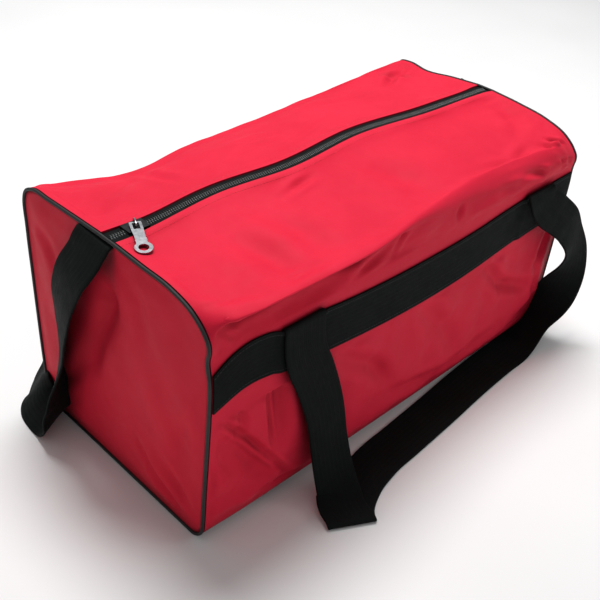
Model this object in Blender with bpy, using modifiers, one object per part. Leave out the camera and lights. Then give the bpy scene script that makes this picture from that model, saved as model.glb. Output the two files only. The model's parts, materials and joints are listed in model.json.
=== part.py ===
"""Hockey equipment bag: a soft rectangular bag that opens along a zip in its top.

Units are metres and +Z is up. +X runs along the bag's length to its right end, and -Y faces the
front. The origin is on the floor, under the middle of the bag. The bag lies empty on its bottom
panel, closed, with both carrying handles and the shoulder strap let down onto the floor.
"""

import math

import bmesh
import bpy
from mathutils import Matrix, Vector

# The bag's envelope.
LENGTH = 0.555
WIDTH = 0.275
HEIGHT = 0.272          # from the floor to the long top edges
CROWN = 0.008           # rise of the top from those edges to the zip
TOP_RADIUS = 0.040
BOTTOM_RADIUS = 0.020
ARC_STEPS = 6

# Sheet goods.
FABRIC = 0.0016
WEBBING_WIDTH = 0.050
WEBBING = 0.0024
TAB = 0.0014            # a webbing end, pressed flat by its stitching
PIPING_RADIUS = 0.0017
BINDING_WIDTH = 0.012
BINDING = 0.0012
GAP = 0.0004            # between pieces that touch on the real bag

# The top: each half, with its rounded long edge, folds about a line just above the band.
CORNER_Y = WIDTH / 2 - TOP_RADIUS
FOLD_Z = 0.230
END_ZONE = 0.055        # length of the top, at each end, that stays sewn shut
FLAP_END_X = LENGTH / 2 - END_ZONE

# The zip.
MOUTH_HALF = 0.0085     # from the zip's centre line to the edge of each top panel
TAPE_OUTER = 0.019
TAPE_INNER = 0.0042
TAPE = 0.0010
CHAIN_OUTER = 0.0038
CHAIN_ROOT = 0.0024
CHAIN_TIP = 0.0009
CHAIN_THICKNESS = 0.0028
TOOTH_PITCH = 0.005
ZIP_Z = HEIGHT + 0.0037     # mid-height of the tapes and the teeth
STOP_X = 0.262              # where the zip's two halves are joined at each end
STOP_LENGTH = 0.0035

# The slider and its pull.
SLIDER_X = -0.245
SLIDER_LENGTH = 0.022
SLIDER_WIDTH = 0.015
SLIDER_PLATE = 0.0018
SLIDER_CLEARANCE = 0.0005
SLIDER_FLANGE = 0.0020
POST_WIDTH = 0.0010
POST_LENGTH = 0.0040
BRIDGE_RADIUS = 0.0009
BRIDGE_HALF_SPAN = 0.0055
BRIDGE_RISE = 0.0030        # from the pull's axis to the middle of the bridge's bar
PULL_AXIS_RISE = 0.0022     # from the slider's upper face to the pull's axis
PULL_HEADING = math.radians(-114.5)     # the way the resting pull points, from +X
PULL_DROOP = math.radians(5.0)
PULL_THICKNESS = 0.0016
PULL_EYE_X = 0.036
PULL_EYE_RADIUS = 0.0080
PULL_HOLE_RADIUS = 0.0047
PULL_FORK_HALF = 0.0055
PULL_WAIST_HALF = 0.0048
PULL_SLOT_HALF = 0.0031
PULL_SLOT_END = 0.0095
PULL_BAR_HALF = 0.0009

# The bands round the front and back, and the handles that hang from their upper edges.
BAND_BOTTOM = 0.168
BAND_TOP = BAND_BOTTOM + WEBBING_WIDTH
BAND = 0.0016
HANDLE_NEAR_X = -0.169
HANDLE_FAR_X = 0.205

# The shoulder strap, sewn into the top of both end seams.
STRAP_Y = 0.014
STRAP_ROOT_Z = HEIGHT - 0.002
STRAP_ROOT_X = LENGTH / 2 + 0.0025

FLOOR_Z = 0.0004 + WEBBING / 2      # mid-thickness of webbing that lies on the floor

# End seams: the panels round the bag stop short of the end panel, and the piping fills the corner.
WRAP_END_X = LENGTH / 2 - 0.0042
PIPING_X = LENGTH / 2 - 0.0020
END_PANEL_X = LENGTH / 2 - 0.0020
PIPING_INSET = 0.0018
END_PANEL_INSET = PIPING_INSET + PIPING_RADIUS + GAP

COLORS = {
    "red_fabric": ((0.66, 0.010, 0.035), 0.62, 0.0),
    "red_end_fabric": ((0.50, 0.008, 0.028), 0.66, 0.0),
    "black_webbing": ((0.012, 0.014, 0.014), 0.72, 0.0),
    "black_piping": ((0.010, 0.010, 0.011), 0.50, 0.0),
    "black_binding": ((0.016, 0.016, 0.017), 0.80, 0.0),
    "zip_tape": ((0.014, 0.014, 0.015), 0.78, 0.0),
    "zip_teeth": ((0.035, 0.037, 0.040), 0.40, 0.0),
    "nickel": ((0.62, 0.63, 0.64), 0.30, 1.0),
}


# ---------------------------------------------------------------- scene and materials

def clear_scene():
    for old in list(bpy.data.objects):
        bpy.data.objects.remove(old, do_unlink=True)


def new_collection(name):
    collection = bpy.data.collections.new(name)
    bpy.context.scene.collection.children.link(collection)
    return collection


def make_material(name):
    color, roughness, metallic = COLORS[name]
    material = bpy.data.materials.new(name)
    material.use_nodes = True
    shader = material.node_tree.nodes["Principled BSDF"]
    shader.inputs["Base Color"].default_value = (*color, 1.0)
    shader.inputs["Roughness"].default_value = roughness
    shader.inputs["Metallic"].default_value = metallic
    return material


def finish(obj, material):
    """Puts an object in the bag's collection, with its material."""
    obj.data.materials.append(MATERIALS[material])
    for old in list(obj.users_collection):
        old.objects.unlink(obj)
    PARTS.objects.link(obj)
    return obj


# ---------------------------------------------------------------- shapes

def mesh_object(name, vertices, faces):
    mesh = bpy.data.meshes.new(name)
    mesh.from_pydata(vertices, [], faces)
    return bpy.data.objects.new(name, mesh)


def solidify(obj, thickness, offset):
    shell = obj.modifiers.new("thickness", "SOLIDIFY")
    shell.thickness = thickness
    shell.offset = offset
    shell.use_even_offset = True


def box(name, low, high, material):
    """A box between two corners, with its origin in its middle."""
    low, high = Vector(low), Vector(high)
    mesh = bpy.data.meshes.new(name)
    shape = bmesh.new()
    bmesh.ops.create_cube(shape, size=1.0)
    bmesh.ops.scale(shape, vec=high - low, verts=shape.verts)
    shape.to_mesh(mesh)
    shape.free()
    obj = bpy.data.objects.new(name, mesh)
    obj.location = (low + high) / 2
    return finish(obj, material)


def extruded_strip(name, outline, x_low, x_high, thickness, material):
    """A sheet along X whose outer face follows (y, z) points, with the outside on their right."""
    vertices = [(x, y, z) for y, z in outline for x in (x_low, x_high)]
    faces = [(2 * i, 2 * i + 2, 2 * i + 3, 2 * i + 1) for i in range(len(outline) - 1)]
    obj = mesh_object(name, vertices, faces)
    solidify(obj, thickness, -1.0)
    obj.data.shade_smooth()
    obj.data.set_sharp_from_angle(angle=math.radians(35))
    return finish(obj, material)


def flat_outline(name, loops, thickness, material):
    """A flat plate in its local XY plane. The first loop is its edge and the others are holes."""
    curve = bpy.data.curves.new(name, "CURVE")
    curve.dimensions = "2D"
    curve.fill_mode = "BOTH"
    curve.extrude = thickness / 2
    for loop in loops:
        spline = curve.splines.new("POLY")
        spline.points.add(len(loop) - 1)
        for point, (x, y) in zip(spline.points, loop):
            point.co = (x, y, 0.0, 1.0)
        spline.use_cyclic_u = True
    return finish(bpy.data.objects.new(name, curve), material)


def tube(name, points, radius, material, closed=False):
    curve = bpy.data.curves.new(name, "CURVE")
    curve.dimensions = "3D"
    curve.bevel_depth = radius
    curve.bevel_resolution = 2
    curve.use_fill_caps = not closed
    spline = curve.splines.new("POLY")
    spline.points.add(len(points) - 1)
    for point, place in zip(spline.points, points):
        point.co = (*place, 1.0)
    spline.use_cyclic_u = closed
    return finish(bpy.data.objects.new(name, curve), material)


def smooth_path(points, steps):
    """Points of a Catmull-Rom curve through the given vectors, with the given steps a span."""
    ends = [2 * points[0] - points[1], *points, 2 * points[-1] - points[-2]]
    path = []
    for i in range(len(points) - 1):
        a, b, c, d = ends[i:i + 4]
        for step in range(steps):
            t = step / steps
            path.append(0.5 * (2 * b + (c - a) * t + (2 * a - 5 * b + 4 * c - d) * t ** 2
                               + (3 * b - a - 3 * c + d) * t ** 3))
    return path + [points[-1]]


def webbing(name, route, hinge, steps=5):
    """Webbing along a route of (place, direction across the webbing), with its origin on a hinge."""
    places = smooth_path([Vector(place) for place, across in route], steps)
    acrosses = smooth_path([Vector(across) for place, across in route], steps)
    hinge = Vector(hinge)
    vertices = []
    last = len(places) - 1
    for i, (place, across) in enumerate(zip(places, acrosses)):
        if 0 < i < last:
            across = across - across.project(places[i + 1] - places[i - 1])
        across = across.normalized() * WEBBING_WIDTH / 2
        for edge in (place - across, place + across):
            edge.z = max(edge.z, FLOOR_Z)
            vertices.append(edge - hinge)
    faces = [(2 * i, 2 * i + 1, 2 * i + 3, 2 * i + 2) for i in range(len(places) - 1)]
    obj = mesh_object(name, vertices, faces)
    obj.location = hinge
    solidify(obj, WEBBING, 0.0)
    obj.data.shade_smooth()
    return finish(obj, "black_webbing")


# ---------------------------------------------------------------- the bag's section

def arc(center_y, center_z, radius, start, steps=ARC_STEPS):
    """A quarter circle of (y, z) points that turns left from a start angle in degrees."""
    angles = [math.radians(start + 90 * i / steps) for i in range(steps + 1)]
    return [(center_y + radius * math.cos(a), center_z + radius * math.sin(a)) for a in angles]


def bottom_corner(inset=0.0):
    return arc(WIDTH / 2 - BOTTOM_RADIUS, BOTTOM_RADIUS, BOTTOM_RADIUS - inset, -90)


def top_corner(inset=0.0):
    return arc(CORNER_Y, HEIGHT - TOP_RADIUS, TOP_RADIUS - inset, 0)


def mirrored(outline):
    """The same outline on the other side of the bag, still with the outside on its right."""
    return [(-y, z) for y, z in reversed(outline)]


def top_z(y, inset=0.0):
    return HEIGHT + CROWN * (1 - abs(y) / CORNER_Y) - inset


def section_loop(inset):
    """The whole section, from the bottom's back edge up, over the top and down the front."""
    back = bottom_corner(inset) + top_corner(inset)
    return back + [(0.0, top_z(0.0, inset))] + mirrored(back)


# ---------------------------------------------------------------- fabric pieces

def make_wrap():
    """The fabric round the bag, in the pieces between its fold lines."""
    flat_half = WIDTH / 2 - BOTTOM_RADIUS - GAP
    bottom = [(-flat_half, 0.0), (flat_half, 0.0)]
    extruded_strip("bottom_panel", bottom, -WRAP_END_X, WRAP_END_X, FABRIC, "red_fabric")
    back = bottom_corner() + [(WIDTH / 2, FOLD_Z - GAP)]
    for name, outline in (("back", back), ("front", mirrored(back))):
        extruded_strip(f"{name}_side_panel", outline, -WRAP_END_X, WRAP_END_X, FABRIC, "red_fabric")


def make_top():
    """Each half of the top: a part that folds open, and a part at each end that stays sewn shut."""
    back = [(WIDTH / 2, FOLD_Z)] + top_corner() + [(MOUTH_HALF, top_z(MOUTH_HALF))]
    for side, outline in (("back", back), ("front", mirrored(back))):
        spans = (
            (f"{side}_top_panel", -FLAP_END_X, FLAP_END_X),
            (f"{side}_top_end_left", -WRAP_END_X, -FLAP_END_X - GAP),
            (f"{side}_top_end_right", FLAP_END_X + GAP, WRAP_END_X),
        )
        for name, x_low, x_high in spans:
            extruded_strip(name, outline, x_low, x_high, FABRIC, "red_fabric")


def make_ends():
    """Both end panels, the piping round them and the binding over the seam inside."""
    outline = section_loop(END_PANEL_INSET)
    piping = section_loop(PIPING_INSET)
    binding = [(y, z) for y, z in section_loop(FABRIC + GAP) if y or z < HEIGHT / 2]
    binding = rotated_to_top(binding)
    for side, name in ((-1, "left"), (1, "right")):
        panel = flat_outline(f"{name}_end_panel", [outline], FABRIC, "red_end_fabric")
        panel.rotation_euler = (math.pi / 2, 0, math.pi / 2)
        panel.location.x = side * END_PANEL_X
        places = [(side * PIPING_X, y, z) for y, z in piping]
        tube(f"{name}_end_piping", places, PIPING_RADIUS, "black_piping", closed=True)
        inner, outer = side * (WRAP_END_X - BINDING_WIDTH), side * WRAP_END_X
        extruded_strip(f"{name}_seam_binding", binding, min(inner, outer), max(inner, outer),
                       BINDING, "black_binding")


def rotated_to_top(outline):
    """The section as an open strip that starts and ends beside the zip."""
    front = [p for p in outline if p[0] < 0]
    back = [p for p in outline if p[0] > 0]
    return front + back


# ---------------------------------------------------------------- the zip

def teeth_outline(x_low, x_high):
    """One half of the zip's teeth in plan: a straight root on the tape, and teeth to the middle."""
    count = int((x_high - x_low) / TOOTH_PITCH)
    margin = (x_high - x_low - count * TOOTH_PITCH) / 2
    points = [(x_high, CHAIN_OUTER), (x_low, CHAIN_OUTER), (x_low, CHAIN_ROOT)]
    for i in range(count):
        start = x_low + margin + (i + 0.25) * TOOTH_PITCH
        stop = start + TOOTH_PITCH / 2
        points += [(start, CHAIN_ROOT), (start, CHAIN_TIP), (stop, CHAIN_TIP), (stop, CHAIN_ROOT)]
    return points + [(x_high, CHAIN_ROOT)]


def make_zip_halves():
    """The tape and the teeth on the edge of each folding half of the top."""
    outline = teeth_outline(-FLAP_END_X, FLAP_END_X)
    half = TAPE / 2
    for name, side in (("back", 1), ("front", -1)):
        y_low, y_high = sorted((side * TAPE_INNER, side * TAPE_OUTER))
        box(f"{name}_zip_tape", (-FLAP_END_X, y_low, ZIP_Z - half),
            (FLAP_END_X, y_high, ZIP_Z + half), "zip_tape")
        teeth = flat_outline(f"{name}_zip_teeth", [[(x, side * y) for x, y in outline]],
                             CHAIN_THICKNESS, "zip_teeth")
        teeth.location.z = ZIP_Z


def end_fork(inner, outer, bar_start, bar_end):
    """A U in plan: two strips along the zip, joined by a bar that closes the zip's end."""
    start = FLAP_END_X + GAP
    return [(start, inner), (bar_start, inner), (bar_start, -inner), (start, -inner),
            (start, -outer), (bar_end, -outer), (bar_end, outer), (start, outer)]


def make_zip_ends():
    """At each end the tapes and the teeth are held together, and the slider parks over them."""
    teeth = end_fork(CHAIN_TIP, CHAIN_OUTER, STOP_X, STOP_X + STOP_LENGTH)
    tape = end_fork(TAPE_INNER, TAPE_OUTER, STOP_X + STOP_LENGTH + GAP, WRAP_END_X)
    for name, side in (("left", -1), ("right", 1)):
        for part, loop, thickness, material in (
                ("zip_end_teeth", teeth, CHAIN_THICKNESS, "zip_teeth"),
                ("zip_end_tape", tape, TAPE, "zip_tape")):
            obj = flat_outline(f"{name}_{part}", [[(side * x, y) for x, y in loop]],
                               thickness, material)
            obj.location.z = ZIP_Z


def make_slider():
    """A plate above and a plate below the teeth, with lips over the tapes and a post between."""
    inner = CHAIN_THICKNESS / 2 + SLIDER_CLEARANCE
    outer = inner + SLIDER_PLATE
    lip = TAPE / 2 + SLIDER_CLEARANCE
    half_length, half_width = SLIDER_LENGTH / 2, SLIDER_WIDTH / 2
    place = Vector((SLIDER_X, 0.0, ZIP_Z))
    body = box("zip_slider", place + Vector((-half_length, -half_width, inner)),
               place + Vector((half_length, half_width, outer)), "nickel")
    additions = [((-half_length, -half_width, -outer), (half_length, half_width, -inner))]
    for side in (-1, 1):
        y_low, y_high = sorted((side * half_width, side * (half_width - SLIDER_FLANGE)))
        additions += [((-half_length, y_low, z_low), (half_length, y_high, z_high))
                      for z_low, z_high in ((lip, outer), (-outer, -lip))]
    post_start = -half_length
    additions.append(((post_start, -POST_WIDTH / 2, -outer),
                      (post_start + POST_LENGTH, POST_WIDTH / 2, outer)))
    for i, (low, high) in enumerate(additions):
        shape = box(f"slider_addition_{i}", place + Vector(low), place + Vector(high), "nickel")
        PARTS.objects.unlink(shape)
        CUTTERS.objects.link(shape)
        shape.hide_render = True
        shape.display_type = "WIRE"
        union = body.modifiers.new(f"join_{i}", "BOOLEAN")
        union.operation = "UNION"
        union.solver = "EXACT"
        union.object = shape


def pull_frame():
    """Where the pull turns: X along the resting pull, Y along its axis, Z up."""
    top = ZIP_Z + CHAIN_THICKNESS / 2 + SLIDER_CLEARANCE + SLIDER_PLATE
    place = Matrix.Translation((SLIDER_X, 0.0, top + PULL_AXIS_RISE))
    return place @ Matrix.Rotation(PULL_HEADING, 4, "Z")


def make_bridge():
    """The arch on the slider that the pull's bar passes under."""
    foot = -PULL_AXIS_RISE + GAP
    shoulder = 0.75 * BRIDGE_RISE
    half = [(BRIDGE_HALF_SPAN, foot), (BRIDGE_HALF_SPAN, 0.25 * BRIDGE_RISE),
            (0.85 * BRIDGE_HALF_SPAN, shoulder), (0.5 * BRIDGE_HALF_SPAN, BRIDGE_RISE)]
    arch = [(-x, z) for x, z in half] + list(reversed(half))
    points = [pull_frame() @ Vector((x, 0.0, z)) for x, z in arch]
    tube("zip_slider_bridge", points, BRIDGE_RADIUS, "nickel")


def make_pull():
    """A flat forked tab: a bar and two prongs round the bridge, and a round eye at the far end."""
    eye = [(PULL_EYE_X + PULL_EYE_RADIUS * math.cos(a), PULL_EYE_RADIUS * math.sin(a))
           for a in (math.radians(-140 + 280 * i / 20) for i in range(21))]
    edge = [(-PULL_BAR_HALF, -PULL_FORK_HALF), (PULL_SLOT_END, -PULL_FORK_HALF),
            (2 * PULL_SLOT_END, -PULL_WAIST_HALF)]
    outline = edge + eye + [(x, -y) for x, y in reversed(edge)]
    slot = [(PULL_BAR_HALF, -PULL_SLOT_HALF), (PULL_SLOT_END, -PULL_SLOT_HALF),
            (PULL_SLOT_END, PULL_SLOT_HALF), (PULL_BAR_HALF, PULL_SLOT_HALF)]
    hole = [(PULL_EYE_X + PULL_HOLE_RADIUS * math.cos(a), PULL_HOLE_RADIUS * math.sin(a))
            for a in (2 * math.pi * i / 20 for i in range(20))]
    pull = flat_outline("zip_pull", [outline, slot, hole], PULL_THICKNESS, "nickel")
    pull.matrix_world = pull_frame() @ Matrix.Rotation(PULL_DROOP, 4, "Y")


# ---------------------------------------------------------------- webbing

def make_bands_and_tabs():
    """A band along the front and the back, sewn over the ends of the handles."""
    for name, side in (("front", -1), ("back", 1)):
        tab_low = side * (WIDTH / 2 + GAP)
        tab_high = tab_low + side * TAB
        band_low = tab_high + side * GAP
        band_high = band_low + side * BAND
        low_y, high_y = sorted((band_low, band_high))
        box(f"{name}_band", (-WRAP_END_X, low_y, BAND_BOTTOM), (WRAP_END_X, high_y, BAND_TOP),
            "black_webbing")
        low_y, high_y = sorted((tab_low, tab_high))
        for end, x in (("left", HANDLE_NEAR_X), ("right", HANDLE_FAR_X)):
            box(f"{name}_handle_tab_{end}", (x - WEBBING_WIDTH / 2, low_y, BAND_BOTTOM + 0.004),
                (x + WEBBING_WIDTH / 2, high_y, BAND_TOP), "black_webbing")


def handle_hinge(side):
    """A point on the line that a handle turns about, at the upper edge of its band."""
    y = WIDTH / 2 + GAP + TAB + GAP + BAND + GAP + WEBBING / 2
    return Vector((0.0, side * y, BAND_TOP + 0.0015))


def make_front_handle():
    """Down from the near end of the band, along the floor, and up to the far end of the band."""
    hinge = handle_hinge(-1)
    y = hinge.y
    route = [
        ((HANDLE_NEAR_X, y, hinge.z), (1, 0, 0)),
        ((HANDLE_NEAR_X + 0.001, y - 0.0012, 0.150), (1, 0, 0)),
        ((HANDLE_NEAR_X + 0.006, y - 0.005, 0.090), (1, 0, 0)),
        ((HANDLE_NEAR_X + 0.016, y - 0.017, 0.034), (1, 0.35, 0)),
        ((HANDLE_NEAR_X + 0.048, y - 0.032, 0.008), (0.55, 1, 0.1)),
        ((-0.070, y - 0.036, FLOOR_Z), (0, 1, 0)),
        ((0.010, y - 0.034, FLOOR_Z), (0, 1, 0)),
        ((0.090, y - 0.030, FLOOR_Z), (0, 1, 0)),
        ((0.170, y - 0.028, FLOOR_Z), (0, 1, 0)),
        ((0.235, y - 0.028, 0.012), (0.1, 1, 0)),
        ((0.282, y - 0.033, 0.060), (0.35, 1, 0)),
        ((0.280, y - 0.032, 0.112), (-0.45, 1, 0)),
        ((0.244, y - 0.016, 0.158), (-1, 0.35, 0)),
        ((0.212, y - 0.005, 0.184), (-1, 0.05, 0)),
        ((HANDLE_FAR_X, y, hinge.z), (-1, 0, 0)),
    ]
    webbing("front_handle", route, hinge)


def make_back_handle():
    """The same piece at the back, with its slack standing up in a hump between its ends."""
    hinge = handle_hinge(1)
    y = hinge.y
    route = [
        ((HANDLE_NEAR_X, y, hinge.z), (1, 0, 0)),
        ((HANDLE_NEAR_X, y + 0.0012, 0.150), (1, 0, 0)),
        ((HANDLE_NEAR_X, y + 0.006, 0.090), (1, 0, 0)),
        ((HANDLE_NEAR_X + 0.008, y + 0.018, 0.034), (1, -0.35, 0)),
        ((HANDLE_NEAR_X + 0.036, y + 0.031, 0.008), (0.55, -1, 0.1)),
        ((-0.088, y + 0.033, FLOOR_Z), (0, -1, 0)),
        ((-0.045, y + 0.034, 0.010), (0, -1, 0)),
        ((-0.018, y + 0.036, 0.050), (0, -1, 0)),
        ((0.018, y + 0.037, 0.076), (0, -1, 0)),
        ((0.054, y + 0.036, 0.050), (0, -1, 0)),
        ((0.081, y + 0.034, 0.010), (0, -1, 0)),
        ((0.124, y + 0.033, FLOOR_Z), (0, -1, 0)),
        ((HANDLE_FAR_X - 0.036, y + 0.031, 0.008), (-0.55, -1, 0.1)),
        ((HANDLE_FAR_X - 0.008, y + 0.018, 0.034), (-1, -0.35, 0)),
        ((HANDLE_FAR_X, y + 0.006, 0.090), (-1, 0, 0)),
        ((HANDLE_FAR_X, y + 0.0012, 0.150), (-1, 0, 0)),
        ((HANDLE_FAR_X, y, hinge.z), (-1, 0, 0)),
    ]
    webbing("back_handle", route, hinge)


def make_strap():
    """From one end seam down to the floor, round behind the bag, and up to the other end seam."""
    near = [
        ((STRAP_ROOT_X, STRAP_Y, STRAP_ROOT_Z), (0, 1, 0)),
        ((STRAP_ROOT_X + 0.009, 0.020, 0.238), (0, 1, 0)),
        ((STRAP_ROOT_X + 0.015, 0.040, 0.185), (-0.35, 1, 0)),
        ((STRAP_ROOT_X + 0.018, 0.064, 0.125), (-0.7, 1, 0)),
        ((STRAP_ROOT_X + 0.016, 0.084, 0.075), (-0.35, 1, 0.2)),
        ((STRAP_ROOT_X + 0.013, 0.106, 0.038), (0, 0.6, 0.8)),
        ((STRAP_ROOT_X + 0.008, 0.136, 0.027), (0, 0, 1)),
        ((LENGTH / 2 - 0.008, 0.166, 0.026), (0, 0, 1)),
        ((LENGTH / 2 - 0.035, 0.210, 0.022), (-0.3, -0.4, 1)),
        ((LENGTH / 2 - 0.070, 0.248, 0.010), (-0.5, -1.2, 0.5)),
        ((LENGTH / 2 - 0.120, 0.263, FLOOR_Z), (0, -1, 0)),
        ((LENGTH / 2 - 0.190, 0.265, FLOOR_Z), (0, -1, 0)),
    ]
    left = [((-x, y, z), (-ax, ay, az)) for (x, y, z), (ax, ay, az) in near]
    middle = [((0.0, 0.265, FLOOR_Z), (0, -1, 0))]
    webbing("shoulder_strap", left + middle + near[::-1], (0.0, STRAP_Y, STRAP_ROOT_Z))


def make_strap_tabs():
    """The strap's two ends, sewn behind the end panels."""
    high_x = END_PANEL_X - FABRIC / 2 - GAP
    for name, side in (("left", -1), ("right", 1)):
        x_low, x_high = sorted((side * high_x, side * (high_x - TAB)))
        box(f"{name}_strap_tab", (x_low, STRAP_Y - WEBBING_WIDTH / 2, HEIGHT - 0.032),
            (x_high, STRAP_Y + WEBBING_WIDTH / 2, HEIGHT - 0.009), "black_webbing")


# ---------------------------------------------------------------- the whole bag

clear_scene()
PARTS = new_collection("hockey_equipment_bag")
CUTTERS = new_collection("cutters")
MATERIALS = {name: make_material(name) for name in COLORS}

make_wrap()
make_top()
make_ends()
make_zip_halves()
make_zip_ends()
make_slider()
make_bridge()
make_pull()
make_bands_and_tabs()
make_front_handle()
make_back_handle()
make_strap()
make_strap_tabs()
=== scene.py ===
"""The looks of the hockey equipment bag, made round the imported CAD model.

Metres, +Z up. +X runs along the bag to its far end, and -Y faces the front. The fabric is one lofted
shell, let go slack in a cloth simulation, and then cut into the pieces between its seams and folds.
"""

import json
from math import cos, pi, radians, sin

import bmesh
import bpy
import numpy as np
from mathutils import Matrix, Vector, noise


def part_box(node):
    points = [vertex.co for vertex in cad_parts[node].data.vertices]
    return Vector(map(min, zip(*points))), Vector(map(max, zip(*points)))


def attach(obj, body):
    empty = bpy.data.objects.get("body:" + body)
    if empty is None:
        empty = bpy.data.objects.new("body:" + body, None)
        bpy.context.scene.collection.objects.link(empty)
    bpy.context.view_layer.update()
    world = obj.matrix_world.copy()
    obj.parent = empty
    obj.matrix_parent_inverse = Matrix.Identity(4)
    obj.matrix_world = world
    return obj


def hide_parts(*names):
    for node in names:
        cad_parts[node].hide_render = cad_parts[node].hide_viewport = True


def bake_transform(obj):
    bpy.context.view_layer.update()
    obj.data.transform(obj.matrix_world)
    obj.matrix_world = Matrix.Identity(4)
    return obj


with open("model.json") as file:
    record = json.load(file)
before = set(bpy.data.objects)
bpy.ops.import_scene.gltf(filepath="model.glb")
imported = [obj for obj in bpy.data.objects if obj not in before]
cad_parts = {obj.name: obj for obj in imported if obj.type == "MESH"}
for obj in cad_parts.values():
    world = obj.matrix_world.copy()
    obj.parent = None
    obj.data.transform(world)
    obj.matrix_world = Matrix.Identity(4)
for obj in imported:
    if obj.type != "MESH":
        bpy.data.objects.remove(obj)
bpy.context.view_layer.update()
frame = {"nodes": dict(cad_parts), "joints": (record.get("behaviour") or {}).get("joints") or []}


# ---- sizes, from the frame

def middle_x(node):
    low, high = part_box(node)
    return (low[0] + high[0]) / 2


JOINTS = {joint["name"]: joint for joint in frame["joints"]}
WRAP_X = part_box("bottom_panel")[1][0]         # where the fabric round the bag meets an end seam
END_X = middle_x("right_end_panel")
PIPING_X = middle_x("right_end_piping")
NEAR_LEG_X = middle_x("front_handle_tab_left")
FAR_LEG_X = middle_x("front_handle_tab_right")
HALF_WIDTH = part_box("back_side_panel")[1][1]
FLAP_END_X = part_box("front_top_panel")[1][0]  # a flap bends between here
FLAP_BEND_X = 0.02                            # and here, at each end
_, FOLD_Y, FOLD_Z = JOINTS["back_flap_fold"]["pos_m"]
HANDLE_Y = JOINTS["back_handle_swing"]["pos_m"][1]
STRAP_Z = JOINTS["shoulder_strap_swing"]["pos_m"][2]

FABRIC = 0.0012
MOUTH_HALF = 0.0085
BOTTOM_RADIUS = 0.02
WEBBING_WIDTH = 0.05
WEBBING = 0.0022
PIPING_RADIUS = 0.0017
FLOOR = 0.0003
UNDER_Z = WEBBING / 2 + FLOOR                 # the middle of webbing that lies on the floor

SIDES = (("front", -1), ("back", 1))          # name, and which way along Y
ENDS = (("near", "left", -1), ("far", "right", 1))    # name, the CAD's name, and which way along X


def halves(count):
    """Both ends of the bag, each with its half of a row of columns. The halves share the middle one."""
    return (*ENDS[0], slice(0, count // 2 + 1)), (*ENDS[1], slice(count // 2, None))


def assign(thing, **values):
    """Sets several of a thing's settings."""
    for name, value in values.items():
        setattr(thing, name, value)


def declare(piece, slot, *nodes, ride="bag", blend=None):
    """Hides the CAD nodes a piece stands for and hangs the piece on its body, or, given a blend, bakes its
    place in. The finish, slot, is not used.
    """
    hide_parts(*nodes)
    if blend:
        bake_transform(piece)
    else:
        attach(piece, ride)


def flap_bend(side, toward):
    """How a piece at one end of a flap bends from the bag's fixed end to the flap."""
    return "bag", f"{side}_flap", (toward * FLAP_END_X, 0, 0), (toward * FLAP_BEND_X, 0, 0)


# ---- materials

class Tree:
    """A material's node tree, with short ways to add nodes and links."""

    def __init__(self, name):
        self.material = bpy.data.materials.new(name)
        self.material.use_nodes = True
        self.nodes = self.material.node_tree.nodes
        self.links = self.material.node_tree.links
        self.shader = self.nodes["Principled BSDF"]

    def set(self, **values):
        for name, value in values.items():
            self.shader.inputs[name.replace("_", " ")].default_value = value

    def feed(self, name, output):
        self.links.new(output, self.shader.inputs[name])

    def add(self, kind, link=None, **values):
        """A new node of a kind, with a link into each input that link names, and values for others."""
        node = self.nodes.new("ShaderNode" + kind)
        for name, value in values.items():
            node.inputs[name.replace("_", " ")].default_value = value
        for name, output in (link or {}).items():
            self.links.new(output, node.inputs[name])
        return node

    def math(self, operation, first, second=0.0):
        node = self.add("Math")
        node.operation = operation
        for socket, value in zip(node.inputs, (first, second)):
            if isinstance(value, bpy.types.NodeSocket):
                self.links.new(value, socket)
            else:
                socket.default_value = value
        return node.outputs[0]

    def wave(self, value, length):
        """A sine wave of that length."""
        return self.math("SINE", self.math("MULTIPLY", value, 2 * pi / length))

    def split(self, kind):
        """The three parts of a texture coordinate."""
        return self.add("SeparateXYZ", {0: self.add("TexCoord").outputs[kind]}).outputs

    def noise(self, scale, detail=3.0, roughness=0.5):
        place = self.add("TexCoord").outputs["Object"]
        node = self.add("TexNoise", {"Vector": place}, Scale=scale, Detail=detail, Roughness=roughness)
        return node.outputs["Fac"]

    def range(self, value, low, high):
        node = self.add("MapRange", {"Value": value}, To_Min=low, To_Max=high)
        return node.outputs["Result"]

    def depth(self, distance, most):
        """Painted shade: how deep a place lies in a fold or a corner, by ambient occlusion, from 0 in the
        open to the most.
        """
        node = self.add("AmbientOcclusion", Distance=distance)
        node.samples = 6
        return self.range(node.outputs["AO"], most, -0.12)

    def ramp(self, factor, *stops):
        node = self.add("ValToRGB", {"Fac": factor})
        for element, (position, color) in zip(node.color_ramp.elements, stops):
            element.position = position
            element.color = (*color, 1.0)
        return node.outputs["Color"]

    def mix(self, factor, first, color):
        node = self.add("Mix")
        node.data_type = "RGBA"
        self.links.new(factor, node.inputs["Factor"])
        self.links.new(first, node.inputs[6])
        node.inputs[7].default_value = (*color, 1.0)
        return node.outputs[2]

    def bump(self, height, strength, distance, below=None):
        link = {"Height": height} if below is None else {"Height": height, "Normal": below}
        node = self.add("Bump", link, Strength=strength, Distance=distance)
        self.feed("Normal", node.outputs["Normal"])
        return node.outputs["Normal"]


def times(factor, color):
    return tuple(min(1, factor * c) for c in color)


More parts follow.
